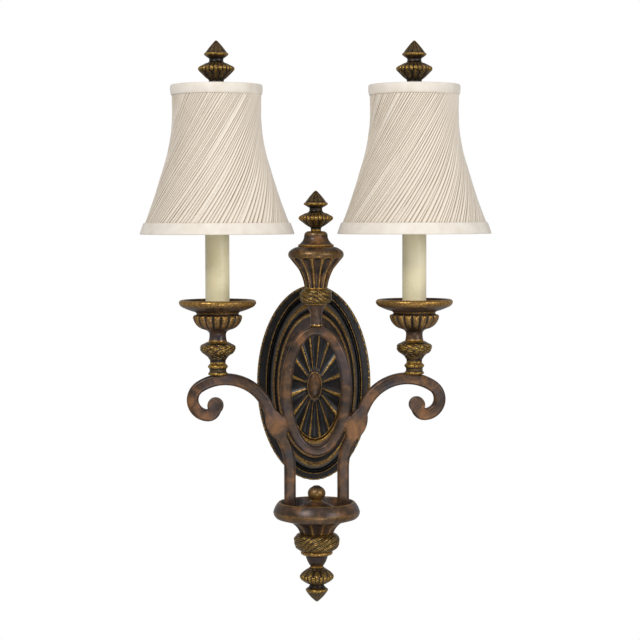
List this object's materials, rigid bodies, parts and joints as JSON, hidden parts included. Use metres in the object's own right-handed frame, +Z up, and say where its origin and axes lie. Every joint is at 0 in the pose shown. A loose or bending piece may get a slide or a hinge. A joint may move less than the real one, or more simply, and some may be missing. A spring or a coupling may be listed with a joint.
{
  "type": "double arm wall sconce",
  "caption": "Wall sconce: an oval backplate carries scrolled arms with candle sleeves, pleated bell shades, and turned ornaments on an oval ring.",
  "frame": {"origin": "on the wall behind the middle of the oval backplate, midway between the two box screws", "axes": "+Z up, +X to the right seen from the room, +Y into the wall"},
  "size_m": [0.35, 0.177, 0.5598],
  "materials": {
    "bronze": "rubbed walnut brown over dark cast metal",
    "gilt": "rubbed gold over dark cast metal",
    "steel": "satin zinc plating",
    "brass": "satin",
    "copper": "bare drawn wire",
    "ground_green": "green dyed zinc",
    "lead_cover": "soft satin",
    "wire_nut": "moulded",
    "socket": "moulded",
    "candle": "smooth, slightly glossy",
    "silk": "pleated silk weave",
    "glass": "clear"
  },
  "bodies": {
    "fixture": {"backplate": "bronze", "rosette": "bronze", "rosette_boss": "bronze", "wall_bracket": "steel", "edge_screws": "steel", "ground_screw": "ground_green", "ground_wire": "copper", "wire_nuts": "wire_nut", "center_ring": "bronze", "center_stem": "bronze", "top_wreath": "gilt", "center_vase": "bronze", "vase_cap": "bronze", "top_finial": "bronze", "top_rod": "steel", "bottom_cup": "bronze", "cup_lid": "bronze", "lid_ball": "bronze", "foot_bar": "steel", "bottom_wreath": "gilt", "bottom_reel": "bronze", "bottom_finial": "bronze", "bottom_rod": "steel", "standoffs": "bronze", "threaded_tubes": "steel", "lock_nuts": "brass", "leads": "lead_cover", "left_arm": "bronze", "left_column_collar": "gilt", "left_column_knop": "gilt", "left_candle_cup": "bronze", "left_bobeche": "bronze", "left_socket": "socket", "left_candle_sleeve": "candle", "left_bulb": "glass", "left_bulb_base": "brass", "right_arm": "bronze", "right_column_collar": "gilt", "right_column_knop": "gilt", "right_candle_cup": "bronze", "right_bobeche": "bronze", "right_socket": "socket", "right_candle_sleeve": "candle", "right_bulb": "glass", "right_bulb_base": "brass"},
    "left_clip": {"left_bulb_clip": "steel"},
    "left_shade": {"left_shade_spider": "steel", "left_shade_bottom_ring": "steel", "left_shade_cover": "silk", "left_shade_trims": "silk"},
    "left_washer": {"left_finial_washer": "brass"},
    "left_finial": {"left_finial": "bronze"},
    "right_clip": {"right_bulb_clip": "steel"},
    "right_shade": {"right_shade_spider": "steel", "right_shade_bottom_ring": "steel", "right_shade_cover": "silk", "right_shade_trims": "silk"},
    "right_washer": {"right_finial_washer": "brass"},
    "right_finial": {"right_finial": "bronze"}
  },
  "joints": [
    {"name": "left_clip_lift", "type": "slide", "parent": "fixture", "child": "left_clip", "axis": [0, 0, 1], "range_m": [0, 0.12]},
    {"name": "left_shade_turn", "type": "hinge", "parent": "left_clip", "child": "left_shade", "pos_m": [-0.098, -0.1, 0.3027], "axis": [0, 0, 1], "continuous": true},
    {"name": "left_finial_rise", "type": "slide", "parent": "left_clip", "child": "left_washer", "axis": [0, 0, 1], "range_m": [0, 0.00753]},
    {"name": "left_finial_turn", "type": "hinge", "parent": "left_washer", "child": "left_finial", "pos_m": [-0.098, -0.1, 0.3047], "axis": [0, 0, 1], "range_deg": [0, 2880]},
    {"name": "right_clip_lift", "type": "slide", "parent": "fixture", "child": "right_clip", "axis": [0, 0, 1], "range_m": [0, 0.12]},
    {"name": "right_shade_turn", "type": "hinge", "parent": "right_clip", "child": "right_shade", "pos_m": [0.098, -0.1, 0.3027], "axis": [0, 0, 1], "continuous": true},
    {"name": "right_finial_rise", "type": "slide", "parent": "right_clip", "child": "right_washer", "axis": [0, 0, 1], "range_m": [0, 0.00753]},
    {"name": "right_finial_turn", "type": "hinge", "parent": "right_washer", "child": "right_finial", "pos_m": [0.098, -0.1, 0.3047], "axis": [0, 0, 1], "range_deg": [0, 2880]}
  ],
  "couplings": [
    {"joint": "left_finial_rise", "follows": "left_finial_turn", "m_per_rad": 0.00014972},
    {"joint": "right_finial_rise", "follows": "right_finial_turn", "m_per_rad": 0.00014972}
  ]
}
